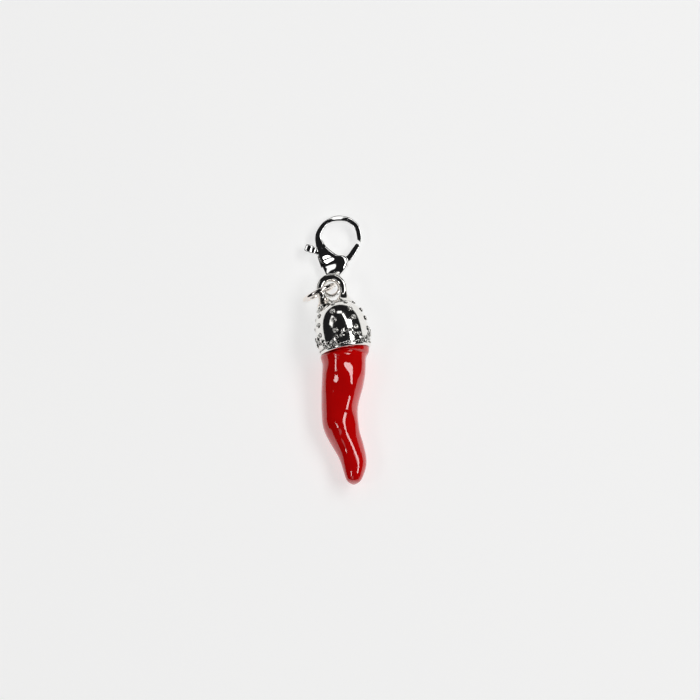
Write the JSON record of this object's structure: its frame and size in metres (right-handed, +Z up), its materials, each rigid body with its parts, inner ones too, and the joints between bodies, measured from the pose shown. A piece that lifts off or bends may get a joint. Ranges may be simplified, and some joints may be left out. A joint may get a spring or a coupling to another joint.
{
  "type": "cornicello horn pendant",
  "caption": "Curved enamelled horn charm in an ornamental domed cap with a bail, linked by a jump ring to a lobster clasp with a sprung lever, lying flat.",
  "frame": {"origin": "middle of the part's footprint, on the surface that it lies on", "axes": "+Y from the horn's tip to the clasp's hook, +Z up from the surface, +X to the right as seen from above"},
  "size_m": [0.0115, 0.046, 0.0093],
  "materials": {
    "enamel": "glossy red enamel, gently lumpy",
    "cast_silver": "polished cast silver-tone metal",
    "wire": "polished plated wire",
    "clasp_chrome": "bright polished plating"
  },
  "bodies": {
    "charm": {"horn": "enamel", "cap": "cast_silver", "jump_ring": "wire", "clasp_body": "clasp_chrome", "clasp_rivet": "clasp_chrome"},
    "lever": {"clasp_lever": "clasp_chrome"}
  },
  "joints": [
    {"name": "lever_hinge", "type": "hinge", "parent": "charm", "child": "lever", "pos_m": [0.00082, 0.01526, 0.00145], "axis": [0, 0, 1], "range_deg": [0, 30], "stiffness_Nm_per_rad": 0.002, "springref_deg": -20.05}
  ]
}
